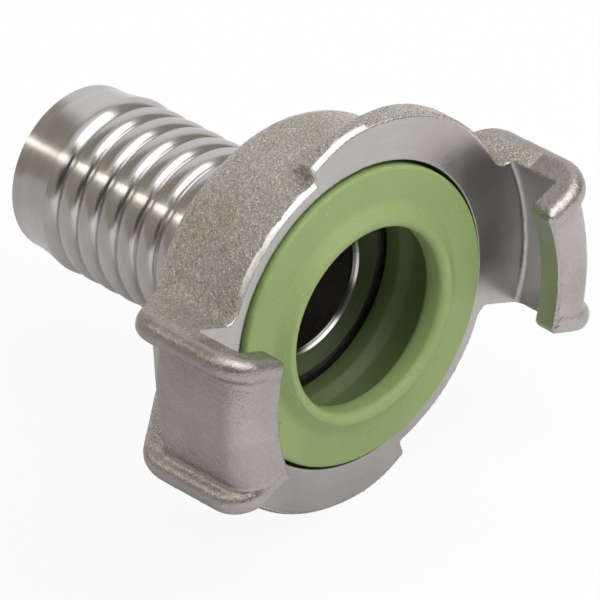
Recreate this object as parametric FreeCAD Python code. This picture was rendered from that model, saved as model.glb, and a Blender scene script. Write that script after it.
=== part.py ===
import FreeCAD, Part
import math
import os

from FreeCAD import Vector

# One half of a claw coupling with a swivelling hose tail.
# The coupling axis is Y. The machined coupling face lies in y = 0 and looks to -Y,
# the hose leaves to +Y, and the two claws stand on +X and -X. Z is up.
# The origin is the centre of the coupling face. All lengths are millimetres.

# Claws, which reach round the wings of the other half
CLAW_SPACING = 40.0
HOOK_GRIP = 2.6
WING_R = CLAW_SPACING / 2 + HOOK_GRIP
WING_CLEARANCE = 1.5
HOOK_FRONT = 9.55
HOOK_THICKNESS = 3.15
RECESS_R = WING_R + WING_CLEARANCE
RECESS_FILLET = 0.6
CLAW_HALF_ANGLE = 17.5
WEB_THICKNESS = 1.7
WEB_R = RECESS_R + WEB_THICKNESS
WEB_FRONT_SETBACK = 0.2
WEB_FRONT_ROUND = 3.2
WEB_BACK_Y = 3.0
WEB_BACK_ROUND = 0.9
RIB_RISE = 1.8
RIB_R = WEB_R + RIB_RISE
RIB_ANGLE = 18.4
RIB_FLARE = 21.0
RIB_WIDTH = 2.8
RIB_EDGE_ROUND = 1.25
RIB_FRONT_ROUND = 4.4
RIB_BACK_Y = 5.8
RIB_BACK_ROUND = 4.8
RIB_INNER_FILLET = 0.6
ROOT_FILLET = 1.6
WING_CLAW_FILLET = 2.2
TIP_BREAK = 0.4
TIP_CORNER_ROUND = 1.1

# Front rim of the round body, from which the wings stand out
WING_WIDTH = 3.75
RIM_R = WING_R - WING_WIDTH

# Wings, the ramps that the claws of the other half slide behind
WING_START_R = WING_R - 2.0
WING_START_ANGLE = 105.0
WING_LEAD_ANGLE = 18.0
WING_LEAD_R = WING_R - 0.65
WING_FULL_ANGLE = 50.0
WING_START_THICKNESS = 1.5
WING_END_THICKNESS = 4.8
WING_START_SLANT = 8.0
WING_COVE = [
    (WING_R + 2.0, -0.5),
    (WING_R, 0.0),
    (WING_R - 1.7, 0.55),
    (WING_R - 2.9, 1.3),
    (RIM_R + 0.05, 2.6),
    (RIM_R - 0.55, 5.0),
]
WING_BACK_ROUND = 0.8
FACE_CHAMFER = 0.45

# Round body of the head
BAND_BACK_R = RIM_R - 0.35
BAND_BACK_Y = 12.0
BAND_BACK_ROUND = 2.3
HUB_ROUND = 0.8
HEAD_LENGTH = 16.2

# Seal ring and its pocket
SEAL_GAP = 0.42
RIM_LAND = 1.63
SEAL_R = RIM_R - RIM_LAND - SEAL_GAP
SEAL_WIDTH = 6.45
SEAL_HOLE_R = SEAL_R - SEAL_WIDTH
SEAL_PROUD = 0.65
SEAL_FLAT_R = SEAL_HOLE_R + 2.55
SEAL_CREST_PROUD = 1.85
SEAL_CREST_R = SEAL_HOLE_R + 1.15
SEAL_LIP_BACK_Y = 1.0
SEAL_INNER_R = SEAL_R - 3.1
SEAL_HEEL_R = SEAL_INNER_R - 1.0
SEAL_HEEL_THICKNESS = 2.2
SEAL_BEAD = 0.8
SEAL_BEAD_WIDTH = 2.6
SEAL_BEAD_Y = 5.0
SEAL_BEAD_GAP = 0.2
POCKET_DEPTH = 9.5

# Swivel joint inside the head
BORE_R = 8.0
NOSE_R = BORE_R + 3.0
NOSE_AHEAD = 0.5
COLLAR_R = SEAL_R - 2.95
COLLAR_THICKNESS = 1.4
COLLAR_GAP = 0.3
CLIP_THICKNESS = 0.8
CLIP_WIDTH = 2.4
CLIP_GROOVE_DEPTH = 0.75
CLIP_GAP = 0.05
CLIP_OPENING = 24.0
CLIP_EYE_R = 0.45
AXIAL_GAP = 0.08
WASHER_THICKNESS = 0.75
NECK_R = BORE_R + 2.6
HUB_R = NECK_R + 2.0
RUNNING_GAP = 0.06
ORING_WIDTH = 1.85
ORING_GROOVE_DEPTH = 1.35
ORING_GROOVE_WIDTH = 2.1
ORING_GAP = 0.03

# Hose tail
BORE_CHAMFER = 0.45
TAIL_END_Y = 44.05
TAIL_END_R = BORE_R + 1.38
TAIL_END_LENGTH = 1.6
TAIL_END_CHAMFER = 0.35
TAIL_FLARE_HOLLOW = 0.07
GROOVE_R = BORE_R + 1.42
FIRST_RIDGE_R = GROOVE_R + 0.68
FIRST_RIDGE_Y = 38.0
RIDGE_R = GROOVE_R + 0.56
RIDGE_FLANK = 1.0
RIDGE_PITCH = 3.05
RIDGE_COUNT = 6
LAST_GROOVE_Y = 36.6

AXIS_START = Vector(0, 0, 0)
AXIS = Vector(0, 1, 0)
INSIDE_R = RIM_R - 3.85


def polar(radius, angle, y=0.0):
    """A point at a radius and angle round the coupling axis."""
    turn = math.radians(angle)
    return Vector(radius * math.cos(turn), y, radius * math.sin(turn))


def rounded_wire(corners, place):
    """A closed wire through corners (u, v, rounding), as lines and tangent arcs."""
    ends = []
    count = len(corners)
    for index, (u, v, radius) in enumerate(corners):
        here = Vector(u, v, 0)
        before = Vector(*corners[index - 1][:2], 0) - here
        after = Vector(*corners[(index + 1) % count][:2], 0) - here
        before.normalize()
        after.normalize()
        if radius == 0:
            ends.append((here, None, here))
            continue
        half = before.getAngle(after) / 2
        reach = radius / math.tan(half)
        middle = before + after
        middle.normalize()
        bulge = radius / math.sin(half) - radius
        ends.append((here + before * reach, here + middle * bulge, here + after * reach))
    edges = []
    for index, (start, middle, end) in enumerate(ends):
        if middle is not None:
            edges.append(Part.Arc(place(start), place(middle), place(end)).toShape())
        following = ends[(index + 1) % count][0]
        if end.distanceToPoint(following) > 1e-6:
            edges.append(Part.LineSegment(place(end), place(following)).toShape())
    return Part.Wire(edges)


def in_profile(point):
    """Reads (radius, y) as a point of the half plane on +X."""
    return Vector(point.x, point.y, 0)


def turned(corners, start=0.0, sweep=360.0):
    """A solid turned about the coupling axis from corners (radius, y, rounding)."""
    face = Part.Face(rounded_wire(corners, in_profile))
    if start:
        face.rotate(AXIS_START, AXIS, -start)
    return face.revolve(AXIS_START, AXIS, sweep)


def sharp(*points):
    """Corners with no rounding."""
    return [(radius, y, 0) for radius, y in points]


def half_turn(shape):
    """The same shape on the opposite side of the coupling axis."""
    other = shape.copy()
    other.rotate(AXIS_START, AXIS, 180)
    return other


def make_web():
    """The plate of one claw between its ribs, sloping back down to the body."""
    front = WEB_FRONT_SETBACK - HOOK_FRONT
    corners = [
        (INSIDE_R, front, 0),
        (WEB_R, front, WEB_FRONT_ROUND),
        (WEB_R, WEB_BACK_Y, WEB_BACK_ROUND),
        (BAND_BACK_R - 0.3, BAND_BACK_Y, 0),
        (INSIDE_R, BAND_BACK_Y, 0),
    ]
    return turned(corners, CLAW_HALF_ANGLE, 2 * CLAW_HALF_ANGLE)


def rib_frame(side):
    """The direction of a rib wall seen from the front, its normal and its offset."""
    turn = math.radians(RIB_FLARE)
    along = Vector(math.cos(turn), 0, side * math.sin(turn))
    outward = Vector(-math.sin(turn), 0, side * math.cos(turn))
    offset = polar(RIB_R, side * RIB_ANGLE).dot(outward)
    return along, outward, offset


def make_rib(side):
    """One of the two ribs of a claw: a flared wall with a rounded outer edge."""
    offset = rib_frame(1)[2]

    def reach(radius):
        return math.sqrt(radius ** 2 - offset ** 2)

    corners = [
        (reach(INSIDE_R), -HOOK_FRONT, 0),
        (reach(RIB_R), -HOOK_FRONT, RIB_FRONT_ROUND),
        (reach(RIB_R), RIB_BACK_Y, RIB_BACK_ROUND),
        (reach(BAND_BACK_R), BAND_BACK_Y, 0),
        (reach(INSIDE_R), BAND_BACK_Y, 0),
    ]
    face = Part.Face(rounded_wire(corners, in_profile))
    face.translate(Vector(0, 0, -RIB_WIDTH / 2))
    wall = face.extrude(Vector(0, 0, RIB_WIDTH))
    rim_edges = []
    for edge in wall.Edges:
        box = edge.BoundBox
        flat = abs(abs(box.ZMin) - RIB_WIDTH / 2) < 1e-6 and box.ZLength < 1e-6
        outer = box.XMax > reach(INSIDE_R) + 0.01 and box.YMin < BAND_BACK_Y - 0.01
        if flat and outer:
            rim_edges.append(edge)
    rib = wall.makeFillet(RIB_EDGE_ROUND, rim_edges)
    rib.translate(Vector(0, 0, side * offset))
    rib.rotate(AXIS_START, AXIS, -side * RIB_FLARE)
    return rib


def corner_arc(radius, round_r, side, lean):
    """The arc that rounds where a rib's outer side meets a circle about the axis.

    A lean of 1 puts the centre of the arc outside the claw, and -1 inside it.
    """
    along, outward, offset = rib_frame(side)
    face = offset + RIB_WIDTH / 2
    level = face + lean * round_r
    run = math.sqrt((radius + round_r) ** 2 - level ** 2)
    centre = along * run + outward * level
    on_side = along * run + outward * face
    on_circle = centre * (radius / (radius + round_r))
    towards = (on_side + on_circle) * 0.5 - centre
    towards.normalize()
    arc = Part.Arc(on_side, centre + towards * round_r, on_circle).toShape()
    return arc, on_side, on_circle


def make_claw():
    """One claw: the plate and its two ribs, with the corners between them filled."""
    claw = make_web().fuse([make_rib(1), make_rib(-1)])
    corner_edges = []
    for edge in claw.Edges:
        middle = edge.valueAt((edge.FirstParameter + edge.LastParameter) / 2)
        distance = math.hypot(middle.x, middle.z)
        angle = abs(math.degrees(math.atan2(middle.z, middle.x)))
        between = angle < RIB_ANGLE - 1.0
        if between and abs(distance - WEB_R) < 0.01 and edge.BoundBox.YLength > 2.0:
            corner_edges.append(edge)
    return claw.makeFillet(RIB_INNER_FILLET, corner_edges)


def tip_corner(side):
    """What is taken off the sharp corner where a hook tip meets its side."""
    tip_r = CLAW_SPACING / 2
    arc, on_side, on_tip = corner_arc(tip_r, TIP_CORNER_ROUND, side, -1)
    outward = rib_frame(side)[1] * TIP_CORNER_ROUND
    shrink = (tip_r - 1.0) / tip_r
    wire = Part.makePolygon([
        on_tip,
        on_tip * shrink,
        on_tip * shrink + outward * 2,
        on_side + outward,
        on_side,
    ])
    face = Part.Face(Part.Wire([arc] + wire.Edges))
    face.translate(Vector(0, -2 * HOOK_FRONT, 0))
    return face.extrude(Vector(0, HOOK_FRONT + HOOK_THICKNESS, 0))


def corner_fillet(inner_r, side, radius, depth):
    """Fills the corner between a round wall and the outer side of a rib."""
    arc, on_side, on_wall = corner_arc(inner_r, radius, side, 1)
    inward = rib_frame(side)[1] * (-RIB_WIDTH / 2)
    wire = Part.makePolygon([
        on_wall,
        on_wall * (INSIDE_R / inner_r),
        on_side * (INSIDE_R / inner_r) + inward,
        on_side + inward,
        on_side,
    ])
    face = Part.Face(Part.Wire([arc] + wire.Edges))
    block = face.extrude(Vector(0, depth, 0))
    front_arc = [
        edge for edge in block.Edges
        if edge.BoundBox.YMax < 1e-6 and edge.Curve.TypeId.endswith("Circle")
    ]
    return block.makeChamfer(FACE_CHAMFER, front_arc)


def make_wing():
    """One wing: a flat outline, bevelled at the face, with a helical ramp behind."""
    end_angle = CLAW_HALF_ANGLE / 2
    full_angle = WING_START_ANGLE - WING_LEAD_ANGLE
    lead_r = WING_START_R + 0.65 * (WING_LEAD_R - WING_START_R)
    start_out = polar(WING_START_R, WING_START_ANGLE)
    full = polar(WING_LEAD_R, full_angle)
    lead_middle = polar(lead_r, WING_START_ANGLE - WING_LEAD_ANGLE / 2)
    lead = Part.Arc(start_out, lead_middle, full).toShape()
    middle_r = WING_LEAD_R + 0.62 * (WING_R - WING_LEAD_R)
    middle = polar(middle_r, (full_angle + WING_FULL_ANGLE) / 2)
    rise = Part.Arc(full, middle, polar(WING_R, WING_FULL_ANGLE)).toShape()
    middle = polar(WING_R, (WING_FULL_ANGLE + end_angle) / 2)
    rim = Part.Arc(polar(WING_R, WING_FULL_ANGLE), middle, polar(WING_R, end_angle)).toShape()
    inside = Part.makePolygon([
        polar(WING_R, end_angle),
        polar(INSIDE_R, end_angle),
        polar(INSIDE_R, WING_START_ANGLE),
        start_out,
    ])
    outline = Part.Face(Part.Wire([lead, rise, rim] + inside.Edges))
    blank = outline.extrude(Vector(0, BAND_BACK_Y, 0))
    front_edges = [
        edge for edge in blank.Edges
        if abs(edge.CenterOfMass.y) < 1e-6 and is_outer(edge)
    ]
    wing = blank.makeChamfer(FACE_CHAMFER, front_edges).cut([make_ramp(), make_start_cut()])
    back_edges = [
        edge for edge in wing.Edges
        if edge.BoundBox.YLength > 0.1 and edge.BoundBox.YMin > WING_START_THICKNESS / 2
        and is_outer(edge)
    ]
    return wing.makeFillet(WING_BACK_ROUND, back_edges)


def is_outer(edge):
    """Whether an edge runs along the outer side of a wing."""
    place = edge.valueAt((edge.FirstParameter + edge.LastParameter) / 2)
    return math.hypot(place.x, place.z) > WING_START_R + 0.2


def make_ramp():
    """The space behind a wing: a helical face that sweeps down into the body."""
    lap = 10.0
    sweep = WING_START_ANGLE - RIB_ANGLE
    rise = (WING_END_THICKNESS - WING_START_THICKNESS) / sweep
    pitch = rise * 360
    height = rise * (sweep + 2 * lap)
    curves = []
    for radius, behind in WING_COVE:
        curve = Part.makeHelix(pitch, height, radius).Edges[0]
        curve.rotate(AXIS_START, Vector(1, 0, 0), -90)
        curve.rotate(AXIS_START, AXIS, -(WING_START_ANGLE + lap))
        curve.translate(Vector(0, WING_START_THICKNESS - rise * lap + behind, 0))
        curves.append(Part.Wire([curve]))
    back = Part.makeLoft(curves, False, False)
    return back.Faces[0].extrude(Vector(0, 3 * HEAD_LENGTH, 0))


def make_start_cut():
    """The slanted end of a wing, leaning back towards the claw it grows into."""
    reach = 2 * WING_R
    lean = math.atan2(math.radians(WING_START_SLANT) * WING_R, 3.0)
    block = Part.makeBox(reach, reach, reach, Vector(INSIDE_R, -reach / 2, 0))
    block.rotate(Vector(0, 0, 0), Vector(1, 0, 0), math.degrees(lean))
    block.rotate(AXIS_START, AXIS, -WING_START_ANGLE)
    return block


def make_machining():
    """What the tool takes away in front of the face and inside the hooks."""
    hook_back = HOOK_THICKNESS - HOOK_FRONT
    tip_r = CLAW_SPACING / 2
    ahead = -2 * HOOK_FRONT
    flare = HOOK_FRONT - WEB_FRONT_SETBACK - TIP_BREAK
    return turned([
        (0, ahead, 0),
        (tip_r + HOOK_FRONT, ahead, 0),
        (tip_r, -flare, 0),
        (tip_r, hook_back, 0),
        (RECESS_R, hook_back, 0),
        (RECESS_R, 0, RECESS_FILLET),
        (0, 0, 0),
    ])


def clip_front():
    """Where the retaining ring's front face lies, behind the seal's seat."""
    return POCKET_DEPTH + 0.35


def collar_front():
    """Where the collar of the hose tail begins, just behind the retaining ring."""
    return clip_front() + CLIP_THICKNESS + AXIAL_GAP


def collar_back():
    return collar_front() + COLLAR_THICKNESS


def shelf():
    """The shoulder in the head that the thrust washer leans on."""
    return collar_back() + WASHER_THICKNESS + AXIAL_GAP


def make_head():
    body = turned([
        (0, 0, 0),
        (RIM_R - FACE_CHAMFER, 0, 0),
        (RIM_R, FACE_CHAMFER, 0),
        (BAND_BACK_R, BAND_BACK_Y, BAND_BACK_ROUND),
        (HUB_R, HEAD_LENGTH, HUB_ROUND),
        (0, HEAD_LENGTH, 0),
    ])
    claw = make_claw().multiFuse([
        corner_fillet(RIM_R, -1, ROOT_FILLET, BAND_BACK_Y - 2.0),
        corner_fillet(WING_R, 1, WING_CLAW_FILLET, WING_END_THICKNESS - 0.6),
    ])
    wing = make_wing()
    head = body.multiFuse([claw, half_turn(claw), wing, half_turn(wing)])
    corners = [tip_corner(1), tip_corner(-1)]
    corners += [half_turn(corner) for corner in corners]
    head = head.cut([make_machining()] + corners)
    pocket_r = SEAL_R + SEAL_GAP
    undercut_r = SEAL_R + SEAL_BEAD + SEAL_BEAD_GAP
    step = undercut_r - pocket_r
    undercut_front = SEAL_BEAD_Y - SEAL_BEAD_WIDTH / 2 - SEAL_BEAD_GAP
    undercut_back = SEAL_BEAD_Y + SEAL_BEAD_WIDTH / 2 + SEAL_BEAD_GAP
    pocket = turned(sharp(
        (0, -1),
        (pocket_r, -1),
        (pocket_r, undercut_front - step),
        (undercut_r, undercut_front),
        (undercut_r, undercut_back),
        (pocket_r, undercut_back + step),
        (pocket_r, POCKET_DEPTH),
        (0, POCKET_DEPTH),
    ))
    chamber_r = COLLAR_R + COLLAR_GAP
    groove_r = chamber_r + CLIP_GROOVE_DEPTH
    groove_front = clip_front() - CLIP_GAP
    groove_back = clip_front() + CLIP_THICKNESS + CLIP_GAP
    swivel_space = turned(sharp(
        (0, POCKET_DEPTH - 1),
        (chamber_r, POCKET_DEPTH - 1),
        (chamber_r, groove_front),
        (groove_r, groove_front),
        (groove_r, groove_back),
        (chamber_r, groove_back),
        (chamber_r, shelf()),
        (NECK_R + RUNNING_GAP, shelf()),
        (NECK_R + RUNNING_GAP, HEAD_LENGTH + 1),
        (0, HEAD_LENGTH + 1),
    ))
    return head.cut(pocket).cut(swivel_space)


def make_seal():
    """The form ring: flat outside, a raised lip round its hole and a heel behind."""
    front = -SEAL_PROUD
    crest = -SEAL_CREST_PROUD
    bead_front = SEAL_BEAD_Y - SEAL_BEAD_WIDTH / 2
    bead_back = SEAL_BEAD_Y + SEAL_BEAD_WIDTH / 2
    heel_front = POCKET_DEPTH - SEAL_HEEL_THICKNESS
    return turned([
        (SEAL_R, front, 0.4),
        (SEAL_R, bead_front - SEAL_BEAD, 0),
        (SEAL_R + SEAL_BEAD, bead_front, 0),
        (SEAL_R + SEAL_BEAD, bead_back, 0),
        (SEAL_R, bead_back + SEAL_BEAD, 0),
        (SEAL_R, POCKET_DEPTH, 0.5),
        (SEAL_HEEL_R, POCKET_DEPTH, 0.4),
        (SEAL_HEEL_R, heel_front, 0.5),
        (SEAL_INNER_R, heel_front - 1.2, 0.8),
        (SEAL_INNER_R, SEAL_LIP_BACK_Y + 1.6, 1.0),
        (SEAL_HOLE_R, SEAL_LIP_BACK_Y, 0.8),
        (SEAL_HOLE_R, crest, 0.85),
        (SEAL_CREST_R, crest, 0.35),
        (SEAL_FLAT_R, front, 1.0),
    ])


def quarter_bulge(foot_r, foot_y, crest_r, crest_y):
    """An arc from the foot of a ridge, running level into its crest."""
    rise = crest_r - foot_r
    run = crest_y - foot_y
    bow_r = (rise ** 2 + run ** 2) / (2 * rise)
    half = math.asin(run / bow_r) / 2
    middle_r = crest_r - bow_r * (1 - math.cos(half))
    middle = Vector(middle_r, crest_y - bow_r * math.sin(half), 0)
    return Part.Arc(Vector(foot_r, foot_y, 0), middle, Vector(crest_r, crest_y, 0)).toShape()


def make_tail():
    """The turned hose tail, with its collar, neck, seal groove and ridges."""
    nose = POCKET_DEPTH - NOSE_AHEAD
    groove_start = shelf() + (HEAD_LENGTH - shelf() - ORING_GROOVE_WIDTH) / 2
    groove_end = groove_start + ORING_GROOVE_WIDTH
    groove_r = NECK_R - ORING_GROOVE_DEPTH
    first_groove = LAST_GROOVE_Y - RIDGE_COUNT * RIDGE_PITCH
    corners = [
        (BORE_R, nose + BORE_CHAMFER),
        (BORE_R + BORE_CHAMFER, nose),
        (NOSE_R, nose),
        (NOSE_R, collar_front()),
        (COLLAR_R, collar_front()),
        (COLLAR_R, collar_back()),
        (NECK_R, collar_back()),
        (NECK_R, groove_start),
        (groove_r, groove_start),
        (groove_r, groove_end),
        (NECK_R, groove_end),
        (NECK_R, HEAD_LENGTH + 0.6),
        (GROOVE_R, HEAD_LENGTH + 1.2),
        (GROOVE_R, first_groove),
    ]
    edges = Part.makePolygon([Vector(r, y, 0) for r, y in corners]).Edges
    for index in range(RIDGE_COUNT):
        low = first_groove + index * RIDGE_PITCH
        crest = low + RIDGE_FLANK
        edges.append(quarter_bulge(GROOVE_R, low, RIDGE_R, crest))
        edges.append(quarter_bulge(GROOVE_R, low + RIDGE_PITCH, RIDGE_R, crest))
    plain_start = TAIL_END_Y - TAIL_END_LENGTH
    edges.append(quarter_bulge(GROOVE_R, LAST_GROOVE_Y, FIRST_RIDGE_R, FIRST_RIDGE_Y))
    flare_r = (TAIL_END_R + FIRST_RIDGE_R) / 2 - TAIL_FLARE_HOLLOW
    flare = Part.Arc(
        Vector(TAIL_END_R, plain_start, 0),
        Vector(flare_r, (plain_start + FIRST_RIDGE_Y) / 2, 0),
        Vector(FIRST_RIDGE_R, FIRST_RIDGE_Y, 0),
    )
    edges.append(flare.toShape())
    tip_y = TAIL_END_Y - TAIL_END_CHAMFER
    edges += Part.makePolygon([
        Vector(TAIL_END_R, plain_start, 0),
        Vector(TAIL_END_R, tip_y, 0),
        Vector(TAIL_END_R - TAIL_END_CHAMFER, TAIL_END_Y, 0),
        Vector(BORE_R + TAIL_END_CHAMFER, TAIL_END_Y, 0),
        Vector(BORE_R, tip_y, 0),
        Vector(BORE_R, nose + BORE_CHAMFER, 0),
    ]).Edges
    wire = Part.Wire(Part.__sortEdges__(edges))
    return Part.Face(wire).revolve(AXIS_START, AXIS, 360)


def make_clip():
    """The retaining ring that keeps the collar in the head, open at the top."""
    outer = COLLAR_R + COLLAR_GAP + CLIP_GROOVE_DEPTH - CLIP_GAP
    inner = outer - CLIP_WIDTH
    front = clip_front()
    back = front + CLIP_THICKNESS
    start = 90 - CLIP_OPENING / 2
    ring = turned(
        sharp((inner, front), (outer, front), (outer, back), (inner, back)),
        start,
        360 - CLIP_OPENING,
    )
    eye_angle = CLIP_OPENING / 2 + math.degrees(2.2 * CLIP_EYE_R / inner)
    for side in (-1, 1):
        centre = polar((inner + outer) / 2, 90 + side * eye_angle, front - 1)
        ring = ring.cut(Part.makeCylinder(CLIP_EYE_R, CLIP_THICKNESS + 2, centre, AXIS))
    return ring


def make_washer():
    """The sliding washer between the collar and the shoulder in the head."""
    front = collar_back() + AXIAL_GAP / 2
    back = front + WASHER_THICKNESS
    inner = NECK_R + COLLAR_GAP
    outer = COLLAR_R
    return turned(sharp((inner, front), (outer, front), (outer, back), (inner, back)))


def make_oring():
    """The neck seal, drawn squeezed between its groove and the bore of the head."""
    middle = (shelf() + HEAD_LENGTH) / 2
    low = NECK_R - ORING_GROOVE_DEPTH + ORING_GAP
    high = NECK_R + RUNNING_GAP - ORING_GAP
    front = middle - ORING_WIDTH / 2
    back = middle + ORING_WIDTH / 2
    soft = 0.45 * (high - low)
    return turned([
        (low, front, soft),
        (high, front, soft),
        (high, back, soft),
        (low, back, soft),
    ])


NODES = {
    "claw_head": make_head,
    "form_ring_seal": make_seal,
    "hose_tail": make_tail,
    "retaining_ring": make_clip,
    "thrust_washer": make_washer,
    "neck_o_ring": make_oring,
}

os.makedirs("parts", exist_ok=True)
for name, make in NODES.items():
    (solid,) = make().Solids
    solid.exportStep("parts/" + name + ".step")
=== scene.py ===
import math

import bpy
import numpy as np
from mathutils import Matrix, Vector, noise as noise_field


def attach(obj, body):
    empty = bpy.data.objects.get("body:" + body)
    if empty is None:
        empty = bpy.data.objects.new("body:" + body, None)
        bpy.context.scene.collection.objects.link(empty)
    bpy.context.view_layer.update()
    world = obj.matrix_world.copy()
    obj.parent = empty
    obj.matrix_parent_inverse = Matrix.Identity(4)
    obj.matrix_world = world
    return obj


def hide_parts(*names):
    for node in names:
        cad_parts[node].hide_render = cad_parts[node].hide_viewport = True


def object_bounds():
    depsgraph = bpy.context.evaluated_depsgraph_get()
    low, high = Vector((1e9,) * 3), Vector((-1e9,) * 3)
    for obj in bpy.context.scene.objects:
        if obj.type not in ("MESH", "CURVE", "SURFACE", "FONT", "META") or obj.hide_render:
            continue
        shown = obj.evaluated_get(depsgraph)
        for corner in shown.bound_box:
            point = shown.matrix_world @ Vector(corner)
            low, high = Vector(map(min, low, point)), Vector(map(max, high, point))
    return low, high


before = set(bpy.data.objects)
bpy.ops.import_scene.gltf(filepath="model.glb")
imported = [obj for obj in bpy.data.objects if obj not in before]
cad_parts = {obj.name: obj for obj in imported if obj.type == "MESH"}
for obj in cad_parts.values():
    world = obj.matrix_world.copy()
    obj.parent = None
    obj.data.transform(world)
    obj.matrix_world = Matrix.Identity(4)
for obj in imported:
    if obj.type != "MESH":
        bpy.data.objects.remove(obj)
CAD_LOW, CAD_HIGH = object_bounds()

# The frame is in metres. The coupling axis is Y, the coupling face is in y = 0 and
# looks to -Y, the claws stand on +X and -X, and Z is up.
MM = 0.001

# Surfaces that the tool cut on the cast head
RECESS_R = 24.1 * MM
TIP_R = 20.0 * MM
POCKET_R = 17.22 * MM
HOOK_BACK_Y = -6.4 * MM
RECESS_FILLET = 0.6 * MM
POCKET_Y = 9.5 * MM
NO_LIMIT = 1.0

# A vertex this near to a cut surface, and facing as it does, is set onto it
SNAP = 0.09 * MM
SAME_FACING = 0.8

# Round the seal pocket and along the recess the skin keeps its shape
CUT_ZONE = 1.5 * MM
POCKET_FACING = 0.3
FILLET_FACING = -0.1

# Dressed rim between the round body and the coupling face, with angles in degrees. Between the two
# angles its edge is painted pale as a highlight, where light glints on it.
RIM_DEPTH = 0.75 * MM
RIM_HIGHLIGHT_DEPTH = 0.60 * MM
RIM_HIGHLIGHT_RAGGED = 0.30 * MM
RIM_HIGHLIGHT_SCALE = 700
RIM_HIGHLIGHT_START = 84
RIM_HIGHLIGHT_END = 149
EDGE_LINE = 0.15 * MM
EDGE_FACING = -0.4

# Cast skin of the head: mesh size, how near points are joined, how often and how far it
# is smoothed, and how far and how finely it waves
CAST_VOXEL = 0.15 * MM
CAST_WELD = 0.001 * MM
CAST_SMOOTHING = 4
CAST_SMOOTHING_STEP = 0.5
CAST_WAVE = 0.05 * MM
CAST_WAVE_SCALE = 260
CAST_GRAIN = 0.02 * MM
CAST_GRAIN_SCALE = 1500

# The claws are worn smooth, from this far out and from this far in front of the face
WORN_X = (23.5 * MM, 25.0 * MM)
WORN_Y = (0.0, -2.5 * MM)
WORN_RELIEF = 0.86

# Bore of the tail, and between which radii painted shade on its edge gives way to the bright steel
BORE_R = 8.0 * MM
BRIGHT_EDGE_R = (BORE_R + 0.20 * MM, BORE_R + 0.28 * MM)

# Painted shade darkens the seal inwards between these depths
SEAL_PAINTED_SHADE_Y = (-0.5 * MM, 3.0 * MM)

# Colours of the materials, from dark to pale
CAST_TONES = ((0.60, 0.54, 0.44), (0.66, 0.625, 0.565), (0.67, 0.655, 0.64))
CAST_WARM_PLACE = 0.48
WORN_TONES = ((0.43, 0.405, 0.375), (0.53, 0.515, 0.505))
CUT_TONES = ((0.49, 0.475, 0.465), (0.58, 0.57, 0.565))
# the pale edge tones are partly the fresh cut metal and partly a painted highlight
EDGE_AND_HIGHLIGHT_TONES = ((0.86, 0.84, 0.82), (0.97, 0.96, 0.95))
EDGE_PALE_PLACE = 0.6
TURNED_TONES = ((0.57, 0.56, 0.55), (0.64, 0.632, 0.622))
# the bore's tones are painted dark as shade inside the tube
BORE_SHADE_TONES = ((0.15, 0.145, 0.130), (0.24, 0.23, 0.205))
SEAL_TONES = ((0.318, 0.447, 0.171), (0.352, 0.485, 0.193))
# the grey floor tones are painted shade, reflected in the metal
FLOOR_SHADE_GREY = ((0.54, 0.53, 0.56), (0.58, 0.57, 0.60))
FLOOR_PALE = ((0.925, 0.915, 0.945), (0.945, 0.935, 0.965))

# Noises of the surfaces: features per metre, detail, roughness and, for some, distortion
CAST_GRAIN_NOISE = (4200, 3.0, 0.65)
CAST_PIT_NOISE = (1500, 4.0, 0.6)
CAST_PATCH_NOISE = (130, 4.0, 0.6, 0.4)
CAST_CLOUD_NOISE = (45, 3.0, 0.5)
CAST_PAINTED_GLINT_NOISE = (6000, 2.0, 0.5)
CUT_CLOUD_NOISE = (120, 3.0, 0.6)
EDGE_NICK_NOISE = (1800, 3.0, 0.6)
SEAL_CLOUD_NOISE = (160, 3.0, 0.55)
SEAL_FINE_NOISE = (3000, 3.0, 0.6)
SEAL_NICK_NOISE = (700, 5.0, 0.7, 1.6)
FLOOR_NOISE = (3.0, 2.0, 0.5)

# Noises drawn out round the axis: features per metre along it, per radian round it and
# per metre out from it, then detail and roughness
CUT_RINGS = (300, 2.0, 9000, 2.0, 0.6)
TURNED_RINGS = (9000, 1.5, 2000, 3.0, 0.7)
TURNED_BANDS = (700, 0.8, 100, 2.0, 0.5)
BORE_RINGS = (2500, 1.0, 300, 3.0, 0.6)

# Most noises turn from their low value to their high one between these two places
LOW_END = 0.3
HIGH_END = 0.7

# Roughness of the surfaces, from smooth to rough
CAST_ROUGHNESS = (0.20, 0.31)
CUT_ROUGHNESS = (0.26, 0.38)
EDGE_ROUGHNESS = (0.42, 0.60)
TURNED_ROUGHNESS = (0.17, 0.25)
BORE_ROUGHNESS = (0.42, 0.55)
SEAL_ROUGHNESS = (0.42, 0.54)

# Shades that the colours are multiplied by: (place on the noise, shade)
CAST_CLOUD_SHADE = ((0.35, 0.88), (0.65, 1.0))
CAST_SPECK_SHADE = ((0.32, 0.60), (0.50, 0.98), (0.66, 1.40))
# painted highlight: sparse specks of the cast colour are brightened to stand for glints of light
CAST_PAINTED_GLINT_SHADE = ((0.54, 0.93), (0.66, 1.60))
CUT_RING_SHADE = ((0.35, 0.90), (0.65, 1.05))
TURNED_LINE_SHADE = ((LOW_END, 0.93), (HIGH_END, 1.03))
SEAL_DUST_SHADE = ((0.35, 0.94), (0.65, 1.06))
SEAL_NICK_SHADE = ((0.315, 0.60), (0.345, 1.0), (0.665, 1.0), (0.70, 1.30))
SEAL_PAINTED_SHADE = ((0.0, 1.0), (1.0, 0.54))
PAINTED_EDGE_SHADE = ((0.0, 0.30), (1.0, 1.0))

# How strongly some of those shades show
CAST_SPECK_SHARE = 0.75
CUT_RING_SHARE = 0.6
TURNED_LINE_SHARE = 0.5
SEAL_DUST_SHARE = 0.6

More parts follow.
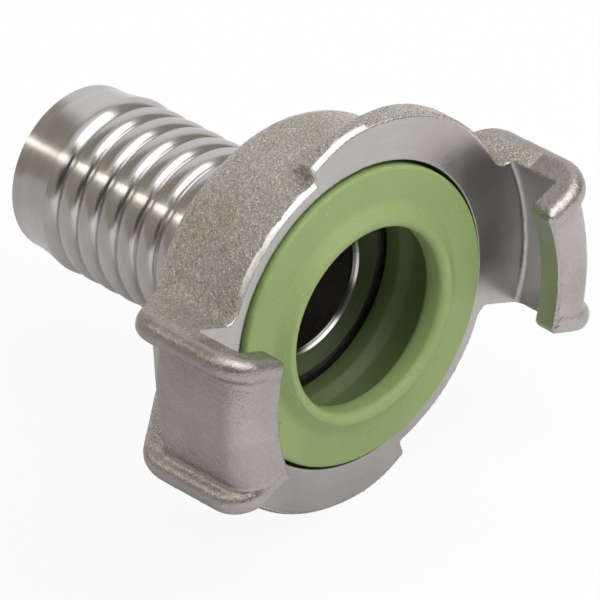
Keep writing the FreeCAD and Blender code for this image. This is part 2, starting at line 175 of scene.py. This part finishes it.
# Depths of the bumps
CAST_GRAIN_BUMP = 0.40 * MM
CAST_PIT_BUMP = 0.70 * MM
CUT_BUMP = 0.02 * MM
EDGE_BUMP = 0.08 * MM
TURNED_BUMP = 0.006 * MM
BORE_BUMP = 0.03 * MM
SEAL_BUMP = 0.03 * MM
INNER_BUMP = 0.02 * MM

# Inner pieces: node, material, dark and pale tone, roughness, metallic, features per metre.
# Their noises have the same detail and roughness.
INNER_PIECES = (
    ("retaining_ring", "spring_steel", (0.30, 0.29, 0.28), (0.42, 0.41, 0.40), 0.4, 1.0, 900),
    ("thrust_washer", "washer_plastic", (0.72, 0.72, 0.69), (0.80, 0.80, 0.77), 0.5, 0.0, 600),
    ("neck_o_ring", "black_rubber", (0.02, 0.02, 0.02), (0.04, 0.04, 0.04), 0.5, 0.0, 900),
)
INNER_NOISE = (3.0, 0.6)
INNER_ROUGHNESS_SPREAD = 0.06

# Edges sharper than this many degrees stay sharp
SHARP_ANGLE = 28

# Camera: place, directions of its right and its down, lens and sensor in mm, clipping
CAMERA_PLACE = Vector((-0.511675, -0.564773, 0.480657))
CAMERA_RIGHT = Vector((0.726800, -0.685400, -0.044579))
CAMERA_DOWN = Vector((-0.392587, -0.361290, -0.845781))
CAMERA_LENS = 521.6
CAMERA_SENSOR = 36.0
CAMERA_CLIP = (0.01, 20.0)

# Floor: size, gap under the part, where its painted grey shade turns to pale, and how white it
# looks
FLOOR_SIZE = 3.0
FLOOR_GAP = 0.0002
FLOOR_PALE_X = (-0.035, 0.03)
FLOOR_PALE_Y = (0.01, -0.03)
FLOOR_WHITE = 0.93

# Soft patches of the studio: azimuth, elevation, inner and outer angle, colour
AMBIENT = (0.31, 0.285, 0.24)
PATCHES = (
    (38, 8, 33, 50, (0.82, 0.80, 0.81)),
    (60, 88, 12, 42, (0.85, 0.83, 0.82)),
    (-130, 26, 16, 38, (0.05, 0.048, 0.042)),
)

# Lamps: azimuth and elevation, size and radiance. The strip runs level over the tail.
LAMP_DISTANCE = 1.2
KEY_PLACE = (-80, 63)
KEY_SIZE = (1.15, 1.15)
KEY_RADIANCE = 1.9
FRONT_PLACE = (-80, 30)
FRONT_SIZE = (0.34, 0.60)
FRONT_RADIANCE = 1.2
STRIP_DISTANCE = 1.2
STRIP_Y = 1.0
STRIP_SIZE = (4.0, 0.15)
STRIP_RADIANCE = 2.7
STRIP_COLOUR = (1.0, 0.965, 0.885)
WHITE = (1, 1, 1)


def new_material(name):
    """An empty node material and its tree."""
    material = bpy.data.materials.new(name)
    material.use_nodes = True
    material.node_tree.nodes.clear()
    return material, material.node_tree


def set_input(tree, socket, value):
    """Links another socket to an input, or gives it a value."""
    if isinstance(value, bpy.types.NodeSocket):
        tree.links.new(value, socket)
    else:
        socket.default_value = value


def add_node(tree, kind, inputs=None, **settings):
    """A node with its settings, and its inputs given as values or as other sockets."""
    node = tree.nodes.new(kind)
    for name, value in settings.items():
        setattr(node, name, value)
    for name, value in (inputs or {}).items():
        set_input(tree, node.inputs[name], value)
    return node


def ramp(tree, factor, stops):
    """A colour ramp from (place, grey or colour) stops."""
    node = add_node(tree, "ShaderNodeValToRGB", {"Fac": factor})
    elements = node.color_ramp.elements
    while len(elements) < len(stops):
        elements.new(0.5)
    for element, (place, colour) in zip(elements, stops):
        element.position = place
        if isinstance(colour, (int, float)):
            colour = (colour, colour, colour)
        element.color = (*colour, 1.0)
    return node.outputs["Color"]


def between(tree, factor, values, start=LOW_END, end=HIGH_END):
    """A ramp from the first of two greys or colours to the second."""
    return ramp(tree, factor, ((start, values[0]), (end, values[1])))


def noise(tree, vector, scale, detail, roughness, distortion=0.0):
    """Noise over a vector. The scale is features per metre."""
    node = add_node(
        tree, "ShaderNodeTexNoise",
        {"Vector": vector, "Scale": scale, "Detail": detail, "Roughness": roughness,
         "Distortion": distortion},
    )
    return node.outputs["Fac"]


def maths(tree, operation, first, second=0.0):
    """One sum of two values or sockets."""
    node = add_node(tree, "ShaderNodeMath", operation=operation)
    set_input(tree, node.inputs[0], first)
    set_input(tree, node.inputs[1], second)
    return node.outputs[0]


def times(tree, first, second):
    """The product of two values or sockets."""
    return maths(tree, "MULTIPLY", first, second)


def map_range(tree, value, limits, interpolation="LINEAR"):
    """How far a value has come from the first limit to the second, from 0 to 1."""
    node = add_node(
        tree, "ShaderNodeMapRange",
        {"Value": value, "From Min": limits[0], "From Max": limits[1]},
        interpolation_type=interpolation,
    )
    return node.outputs["Result"]


def mix_colour(tree, factor, first, second, blend="MIX"):
    """Two colours mixed by a factor."""
    node = add_node(tree, "ShaderNodeMix", data_type="RGBA", blend_type=blend)
    set_input(tree, node.inputs[0], factor)
    for socket, colour in ((node.inputs[6], first), (node.inputs[7], second)):
        set_input(tree, socket, (*colour, 1.0) if isinstance(colour, tuple) else colour)
    return node.outputs[2]


def shaded(tree, colour, shade, share=1.0):
    """A colour multiplied by a shade, as strongly as the share says."""
    return mix_colour(tree, share, colour, shade, "MULTIPLY")


def own_place(tree):
    """The place on the piece, which turns with it."""
    return add_node(tree, "ShaderNodeTexCoord").outputs["Object"]


def axes(tree, place):
    """The x, y and z of a place."""
    split = add_node(tree, "ShaderNodeSeparateXYZ", {"Vector": place})
    return [split.outputs[axis] for axis in "XYZ"]


def radius_of(tree, place):
    """The distance of a place from the coupling axis."""
    x, _, z = axes(tree, place)
    return maths(tree, "SQRT", maths(tree, "ADD", times(tree, x, x), times(tree, z, z)))


def round_axis(tree, place, along, turning, radial):
    """A place as one vector: along the axis, round it and out from it, each scaled."""
    x, y, z = axes(tree, place)
    vector = add_node(
        tree, "ShaderNodeCombineXYZ",
        {"X": times(tree, y, along),
         "Y": times(tree, maths(tree, "ARCTAN2", z, x), turning),
         "Z": times(tree, radius_of(tree, place), radial)},
    )
    return vector.outputs["Vector"]


def ring_noise(tree, place, along, turning, radial, detail, roughness):
    """Noise drawn out round the coupling axis."""
    return noise(tree, round_axis(tree, place, along, turning, radial), 1.0, detail, roughness)


def bump(tree, height, distance, strength, normal=None):
    """A bumped normal, on top of another one where it is given."""
    inputs = {"Height": height, "Distance": distance, "Strength": strength}
    if normal is not None:
        inputs["Normal"] = normal
    return add_node(tree, "ShaderNodeBump", inputs).outputs["Normal"]


def finish_shader(tree, colour, roughness, normal, metallic=1.0):
    """The principled shader and the output."""
    shader = add_node(
        tree, "ShaderNodeBsdfPrincipled",
        {"Base Color": colour, "Roughness": roughness, "Metallic": metallic,
         "Normal": normal},
    )
    add_node(tree, "ShaderNodeOutputMaterial", {"Surface": shader.outputs[0]})


def mix_shader(tree, factor, first, second):
    """Two shaders mixed by a factor."""
    mixed = add_node(tree, "ShaderNodeMixShader", {"Fac": factor})
    tree.links.new(first.outputs[0], mixed.inputs[1])
    tree.links.new(second.outputs[0], mixed.inputs[2])
    return mixed.outputs[0]


def cast_steel():
    """Blasted investment casting: grainy and brownish on the body, worn smooth on the claws, with
    painted glints.
    """
    material, tree = new_material("cast_steel_blasted")
    place = own_place(tree)
    grain = noise(tree, place, *CAST_GRAIN_NOISE)
    pits = noise(tree, place, *CAST_PIT_NOISE)
    patches = noise(tree, place, *CAST_PATCH_NOISE)
    clouds = noise(tree, place, *CAST_CLOUD_NOISE)
    points = noise(tree, place, *CAST_PAINTED_GLINT_NOISE)

    brown, warm, pale = CAST_TONES
    rough_tone = ramp(tree, patches, ((LOW_END, brown), (CAST_WARM_PLACE, warm), (HIGH_END, pale)))
    worn_tone = between(tree, patches, WORN_TONES)
    x, y, _ = axes(tree, place)
    far_out = map_range(tree, maths(tree, "ABSOLUTE", x), WORN_X)
    in_front = map_range(tree, y, WORN_Y)
    worn = maths(tree, "MAXIMUM", far_out, in_front)
    relief = maths(tree, "SUBTRACT", 1.0, times(tree, worn, WORN_RELIEF))

    shade = ramp(tree, clouds, CAST_CLOUD_SHADE)
    speck = ramp(tree, grain, CAST_SPECK_SHADE)
    painted_glints = ramp(tree, points, CAST_PAINTED_GLINT_SHADE)
    colour = shaded(tree, mix_colour(tree, worn, rough_tone, worn_tone), shade)
    colour = shaded(tree, colour, speck, times(tree, relief, CAST_SPECK_SHARE))
    # painted glints: the colour is brightened in sparse specks, as a highlight
    colour = shaded(tree, colour, painted_glints, relief)
    roughness = between(tree, pits, CAST_ROUGHNESS)
    fine = bump(tree, times(tree, grain, relief), CAST_GRAIN_BUMP, 1.0)
    normal = bump(tree, times(tree, pits, relief), CAST_PIT_BUMP, 0.9, fine)
    finish_shader(tree, colour, roughness, normal)
    return material


def machined_steel():
    """The faces that the lathe cut on the head: satin, with fine rings."""
    material, tree = new_material("cast_steel_machined")
    place = own_place(tree)
    rings = ring_noise(tree, place, *CUT_RINGS)
    clouds = noise(tree, place, *CUT_CLOUD_NOISE)
    tone = between(tree, clouds, CUT_TONES)
    colour = shaded(tree, tone, ramp(tree, rings, CUT_RING_SHADE), CUT_RING_SHARE)
    roughness = between(tree, clouds, CUT_ROUGHNESS)
    finish_shader(tree, colour, roughness, bump(tree, rings, CUT_BUMP, 0.6))
    return material


def edge_and_highlight_steel():
    """Freshly cut narrow edges, brighter than the faces, and painted paler still as a highlight.
    """
    material, tree = new_material("cast_steel_edge_and_highlight")
    nicks = noise(tree, own_place(tree), *EDGE_NICK_NOISE)
    colour = between(tree, nicks, EDGE_AND_HIGHLIGHT_TONES, end=EDGE_PALE_PLACE)
    roughness = between(tree, nicks, EDGE_ROUGHNESS)
    finish_shader(tree, colour, roughness, bump(tree, nicks, EDGE_BUMP, 0.5))
    return material


def turned_steel():
    """Bright turned tube: fine rings from the tool, drawn out round the axis, with painted shade
    on the inner part of the bore's edge.
    """
    material, tree = new_material("turned_steel")
    place = own_place(tree)
    rings = ring_noise(tree, place, *TURNED_RINGS)
    tone = between(tree, ring_noise(tree, place, *TURNED_BANDS), TURNED_TONES)
    lines = ramp(tree, rings, TURNED_LINE_SHADE)
    # painted shade: the inner part of the bore's edge chamfer is darkened, so only its outer part
    # shows bright
    off_bore = map_range(tree, radius_of(tree, place), BRIGHT_EDGE_R)
    painted_edge_shade = ramp(tree, off_bore, PAINTED_EDGE_SHADE)
    colour = shaded(tree, shaded(tree, tone, lines, TURNED_LINE_SHARE), painted_edge_shade)
    roughness = between(tree, rings, TURNED_ROUGHNESS)
    finish_shader(tree, colour, roughness, bump(tree, rings, TURNED_BUMP, 0.5))
    return material


def shaded_bore_steel():
    """The drilled bore of the tail: dull, and painted dark as the shade inside it."""
    material, tree = new_material("shaded_bore_steel")
    rings = ring_noise(tree, own_place(tree), *BORE_RINGS)
    colour = between(tree, rings, BORE_SHADE_TONES)
    roughness = between(tree, rings, BORE_ROUGHNESS)
    finish_shader(tree, colour, roughness, bump(tree, rings, BORE_BUMP, 0.6))
    return material


def green_rubber():
    """Satin moulded rubber with faint dust and nicks, and painted shade that darkens its inside.
    """
    material, tree = new_material("green_rubber")
    place = own_place(tree)
    clouds = noise(tree, place, *SEAL_CLOUD_NOISE)
    fine = noise(tree, place, *SEAL_FINE_NOISE)
    scores = noise(tree, place, *SEAL_NICK_NOISE)
    shade_inwards = map_range(tree, axes(tree, place)[1], SEAL_PAINTED_SHADE_Y)
    colour = between(tree, clouds, SEAL_TONES)
    colour = shaded(tree, colour, ramp(tree, fine, SEAL_DUST_SHADE), SEAL_DUST_SHARE)
    colour = shaded(tree, colour, ramp(tree, scores, SEAL_NICK_SHADE))
    # painted shade: the colour darkens deeper into the seal
    colour = shaded(tree, colour, ramp(tree, shade_inwards, SEAL_PAINTED_SHADE))
    roughness = between(tree, clouds, SEAL_ROUGHNESS)
    finish_shader(tree, colour, roughness, bump(tree, fine, SEAL_BUMP, 0.5), metallic=0.0)
    return material


def plain_material(name, dark, pale, roughness, metallic, scale):
    """Small inner pieces: two tones of noise and a fine bump."""
    material, tree = new_material(name)
    cloud = noise(tree, own_place(tree), scale, *INNER_NOISE)
    colour = between(tree, cloud, (dark, pale))
    spread = INNER_ROUGHNESS_SPREAD
    rough = between(tree, cloud, (roughness - spread, roughness + spread))
    finish_shader(tree, colour, rough, bump(tree, cloud, INNER_BUMP, 0.5), metallic=metallic)
    return material


def smooth_faces(mesh):
    """Marks every face of a mesh for smooth shading."""
    mesh.polygons.foreach_set("use_smooth", [True] * len(mesh.polygons))


def read_values(items, name, kind, width=1):
    """One property of every item of a mesh, as an array."""
    values = np.empty(len(items) * width, kind)
    items.foreach_get(name, values)
    return values if width == 1 else values.reshape(-1, width).astype(float)


def read_vertices(mesh):
    """The places and the normals of a mesh's vertices."""
    places = read_values(mesh.vertices, "co", np.float32, 3)
    normals = read_values(mesh.vertex_normals, "vector", np.float32, 3)
    return places, normals


def write_vertices(mesh, places):
    """Sets a mesh's vertices to the places."""
    mesh.vertices.foreach_set("co", places.astype(np.float32).ravel())
    mesh.update()


def bake_modifiers(piece):
    """Turns what a piece's modifiers make into its own mesh."""
    graph = bpy.context.evaluated_depsgraph_get()
    mesh = bpy.data.meshes.new_from_object(piece.evaluated_get(graph))
    old = piece.data
    piece.modifiers.clear()
    piece.data = mesh
    bpy.data.meshes.remove(old)


def skin_of(node, name, voxel):
    """A closed even mesh over a CAD node, as a new piece."""
    piece = bpy.data.objects.new(name, node.data.copy())
    bpy.context.scene.collection.objects.link(piece)
    piece.modifiers.new("weld", "WELD").merge_threshold = CAST_WELD
    cover = piece.modifiers.new("cover", "REMESH")
    cover.mode = "VOXEL"
    cover.voxel_size = voxel
    bake_modifiers(piece)
    return piece


def machined_zones(places, normals):
    """The vertices that lie on the surfaces the tool cut.

    Returns the flat faces as pairs of y and mask, the round ones as pairs of radius
    and mask, and a mask of the places between them that keep their shape.
    """
    x, y, z = places.T
    radius = np.hypot(x, z)
    outward = (normals[:, 0] * x + normals[:, 2] * z) / np.maximum(radius, 1e-9)
    flats = []
    for level, side in ((0.0, -1), (HOOK_BACK_Y, 1), (POCKET_Y, -1)):
        facing = normals[:, 1] * side > SAME_FACING
        flats.append((level, (abs(y - level) < SNAP) & facing))
    rounds = []
    for wall_r, low, high in (
        (TIP_R, -NO_LIMIT, HOOK_BACK_Y),
        (RECESS_R, HOOK_BACK_Y, -RECESS_FILLET),
        (POCKET_R, 0.0, POCKET_Y),
    ):
        near = (abs(radius - wall_r) < SNAP) & (outward < -SAME_FACING)
        rounds.append((wall_r, near & (y > low) & (y < high)))
    pocket = (y > -SNAP) & (radius < POCKET_R + CUT_ZONE) & (outward < POCKET_FACING)
    level_with_fillet = (y > -RECESS_FILLET - SNAP) & (y < SNAP)
    fillet = level_with_fillet & (radius > RECESS_R - CUT_ZONE) & (outward < FILLET_FACING)
    return flats, rounds, pocket | fillet


def uneven(place, scale):
    """How far a cast skin stands off at a place: a wave with a finer one on it."""
    place = Vector(place)
    return noise_field.noise(place * scale) + 0.5 * noise_field.noise(place * (2 * scale))


def make_cast_head(node):
    """The casting: soft worked edges and an uneven skin, with crisp machined faces."""
    piece = skin_of(node, "cast_head", CAST_VOXEL)
    places, normals = read_vertices(piece.data)
    flats, rounds, kept = machined_zones(places, normals)
    radius = np.hypot(places[:, 0], places[:, 2])
    for level, mask in flats:
        places[mask, 1] = level
        kept = kept | mask
    for wall_r, mask in rounds:
        stretch = wall_r / radius[mask]
        places[mask, 0] *= stretch
        places[mask, 2] *= stretch
        kept = kept | mask
    write_vertices(piece.data, places)

    rim = (abs(places[:, 1]) < RIM_DEPTH) & (radius > POCKET_R)
    loose = np.nonzero(~(kept | rim))[0]
    group = piece.vertex_groups.new(name="cast")
    group.add([int(index) for index in loose], 1.0, "REPLACE")
    soft = piece.modifiers.new("soft", "SMOOTH")
    soft.factor = CAST_SMOOTHING_STEP
    soft.iterations = CAST_SMOOTHING
    soft.vertex_group = group.name
    bake_modifiers(piece)

    places, normals = read_vertices(piece.data)
    for index in loose:
        place = places[index]
        lift = CAST_WAVE * uneven(place, CAST_WAVE_SCALE)
        lift += CAST_GRAIN * uneven(place, CAST_GRAIN_SCALE)
        places[index] = place + normals[index] * lift
    write_vertices(piece.data, np.clip(places, np.array(CAD_LOW), np.array(CAD_HIGH)))
    smooth_faces(piece.data)
    paint_head(piece, kept)
    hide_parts("claw_head")
    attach(piece, "head")


def paint_head(head, machined):
    """Gives each face of the head the cast, machined or edge material. The edge material also
    paints a highlight along part of the rim.
    """
    mesh = head.data
    mesh.materials.clear()
    for material in (cast_steel(), machined_steel(), edge_and_highlight_steel()):
        mesh.materials.append(material)
    corners = read_values(mesh.loops, "vertex_index", np.int32)
    starts = read_values(mesh.polygons, "loop_start", np.int32)
    sizes = read_values(mesh.polygons, "loop_total", np.int32)
    centres = read_values(mesh.polygons, "center", np.float32, 3)
    slope = read_values(mesh.polygons, "normal", np.float32, 3)[:, 1]
    cut_corners = np.add.reduceat(machined[corners].astype(int), starts)
    is_cut = 2 * cut_corners >= sizes

    depth = centres[:, 1]
    ragged = np.zeros(len(centres))
    for index in np.nonzero(abs(depth) < 2 * RIM_DEPTH)[0]:
        ragged[index] = noise_field.noise(Vector(centres[index]) * RIM_HIGHLIGHT_SCALE)
    turn = np.degrees(np.arctan2(centres[:, 2], centres[:, 0])) % 180
    is_shallow = depth + ragged * RIM_HIGHLIGHT_RAGGED < RIM_HIGHLIGHT_DEPTH
    # painted highlight: the rim's edge is painted pale only between the two angles where light
    # glints on it
    is_rim_highlight = (turn > RIM_HIGHLIGHT_START) & (turn < RIM_HIGHLIGHT_END) & is_shallow
    is_line = (depth < EDGE_LINE) & (slope < EDGE_FACING)
    is_edge = ~is_cut & (depth > -SNAP) & (is_rim_highlight | is_line)
    indexes = np.where(is_cut, 1, np.where(is_edge, 2, 0)).astype(np.int32)
    mesh.polygons.foreach_set("material_index", indexes)
    mesh.update()


def paint(piece, material):
    """Gives a whole piece one material."""
    piece.data.materials.clear()
    piece.data.materials.append(material)


def paint_tail(tail):
    """Bright turned steel outside, dark steel with painted shade in the bore."""
    paint(tail, turned_steel())
    tail.data.materials.append(shaded_bore_steel())
    for polygon in tail.data.polygons:
        centre = polygon.center
        is_bore = math.hypot(centre.x, centre.z) < BORE_R + SNAP
        polygon.material_index = int(is_bore)


def paint_pieces(nodes):
    """Smooths every node, makes the cast head, and paints the other pieces."""
    for node in nodes.values():
        smooth_faces(node.data)
        node.data.set_sharp_from_angle(angle=math.radians(SHARP_ANGLE))
    make_cast_head(nodes["claw_head"])
    paint(nodes["form_ring_seal"], green_rubber())
    paint_tail(nodes["hose_tail"])
    for name, *look in INNER_PIECES:
        paint(nodes[name], plain_material(*look))


def make_camera():
    """The long lens camera that was fitted to the photo's outlines."""
    data = bpy.data.cameras.new("camera")
    data.lens = CAMERA_LENS
    data.sensor_width = CAMERA_SENSOR
    data.clip_start, data.clip_end = CAMERA_CLIP
    camera = bpy.data.objects.new("camera", data)
    bpy.context.scene.collection.objects.link(camera)
    right = CAMERA_RIGHT.normalized()
    up = -CAMERA_DOWN.normalized()
    turn = Matrix((right, up, right.cross(up))).transposed()
    camera.matrix_world = Matrix.Translation(CAMERA_PLACE) @ turn.to_4x4()
    bpy.context.scene.camera = camera


def towards(azimuth, elevation):
    """The unit vector to a place in the studio: degrees from +X round to +Y, and up."""
    turn, rise = math.radians(azimuth), math.radians(elevation)
    level = math.cos(rise)
    return Vector((level * math.cos(turn), level * math.sin(turn), math.sin(rise)))


def make_softbox(name, place, aim, size, radiance, colour=WHITE):
    """An even soft lamp that looks at its aim, as bright as its radiance says."""
    data = bpy.data.lights.new(name, "AREA")
    data.shape = "RECTANGLE"
    data.size, data.size_y = size
    data.energy = math.pi * size[0] * size[1] * radiance
    data.color = colour
    lamp = bpy.data.objects.new(name, data)
    bpy.context.scene.collection.objects.link(lamp)
    lamp.location = place
    lamp.rotation_mode = "QUATERNION"
    lamp.rotation_quaternion = (Vector(aim) - Vector(place)).to_track_quat("-Z", "Y")


def make_lights():
    """A large key lamp above, a small one in front, and a long strip over the tail."""
    centre = (0, 0, 0)
    key = towards(*KEY_PLACE) * LAMP_DISTANCE
    make_softbox("key", key, centre, KEY_SIZE, KEY_RADIANCE)
    front = towards(*FRONT_PLACE) * LAMP_DISTANCE
    make_softbox("front", front, centre, FRONT_SIZE, FRONT_RADIANCE)
    side = STRIP_DISTANCE * math.sqrt(0.5)
    make_softbox("strip", (-side, STRIP_Y, side), (0, STRIP_Y, 0), STRIP_SIZE,
                 STRIP_RADIANCE, STRIP_COLOUR)


def make_stage():
    """A floor that lights the part from below and looks white, with the part's shadow, and painted
    grey toward the left and back as shade that the part reflects.
    """
    bpy.ops.mesh.primitive_plane_add(size=FLOOR_SIZE)
    floor = bpy.context.object
    floor.name = "floor"
    floor.location = (0, 0, CAD_LOW.z - FLOOR_GAP)
    material, tree = new_material("floor")
    place = own_place(tree)
    cloud = noise(tree, place, *FLOOR_NOISE)
    x, y, _ = axes(tree, place)
    to_the_right = map_range(tree, x, FLOOR_PALE_X)
    in_front = map_range(tree, y, FLOOR_PALE_Y)
    grey = between(tree, cloud, FLOOR_SHADE_GREY)
    pale = between(tree, cloud, FLOOR_PALE)
    # painted shade: the floor is grey toward the left and back, so the metal reflects a darker
    # floor there
    colour = mix_colour(tree, maths(tree, "MAXIMUM", to_the_right, in_front), grey, pale)
    surface = add_node(tree, "ShaderNodeBsdfDiffuse", {"Color": colour})
    glow = add_node(tree, "ShaderNodeEmission", {"Color": (*WHITE, 1), "Strength": 1.0})
    seen = add_node(tree, "ShaderNodeLightPath").outputs["Is Camera Ray"]
    mixed = mix_shader(tree, times(tree, seen, FLOOR_WHITE), surface, glow)
    add_node(tree, "ShaderNodeOutputMaterial", {"Surface": mixed})
    floor.data.materials.append(material)


def patch(tree, place, azimuth, elevation, inner, outer):
    """How far a direction lies in a round soft patch of the studio, from 0 to 1."""
    facing = add_node(tree, "ShaderNodeVectorMath", operation="DOT_PRODUCT")
    tree.links.new(place, facing.inputs[0])
    facing.inputs[1].default_value = towards(azimuth, elevation)
    limits = [math.cos(math.radians(angle)) for angle in (outer, inner)]
    return map_range(tree, facing.outputs["Value"], limits, "SMOOTHSTEP")


def make_world():
    """A dim warm studio with a pale wall and ceiling and a dark corner, seen as white."""
    world = bpy.data.worlds.new("studio")
    bpy.context.scene.world = world
    world.use_nodes = True
    tree = world.node_tree
    tree.nodes.clear()
    place = add_node(tree, "ShaderNodeTexCoord").outputs["Generated"]
    sky = AMBIENT
    for azimuth, elevation, inner, outer, colour in PATCHES:
        share = patch(tree, place, azimuth, elevation, inner, outer)
        sky = mix_colour(tree, share, sky, colour)
    light = add_node(tree, "ShaderNodeBackground", {"Color": sky, "Strength": 1.0})
    white = add_node(tree, "ShaderNodeBackground", {"Color": (*WHITE, 1), "Strength": 1.0})
    seen = add_node(tree, "ShaderNodeLightPath").outputs["Is Camera Ray"]
    mixed = mix_shader(tree, seen, light, white)
    add_node(tree, "ShaderNodeOutputWorld", {"Surface": mixed})


paint_pieces(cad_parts)
make_camera()
make_stage()
make_world()
make_lights()
bpy.context.scene.view_settings.view_transform = "Standard"
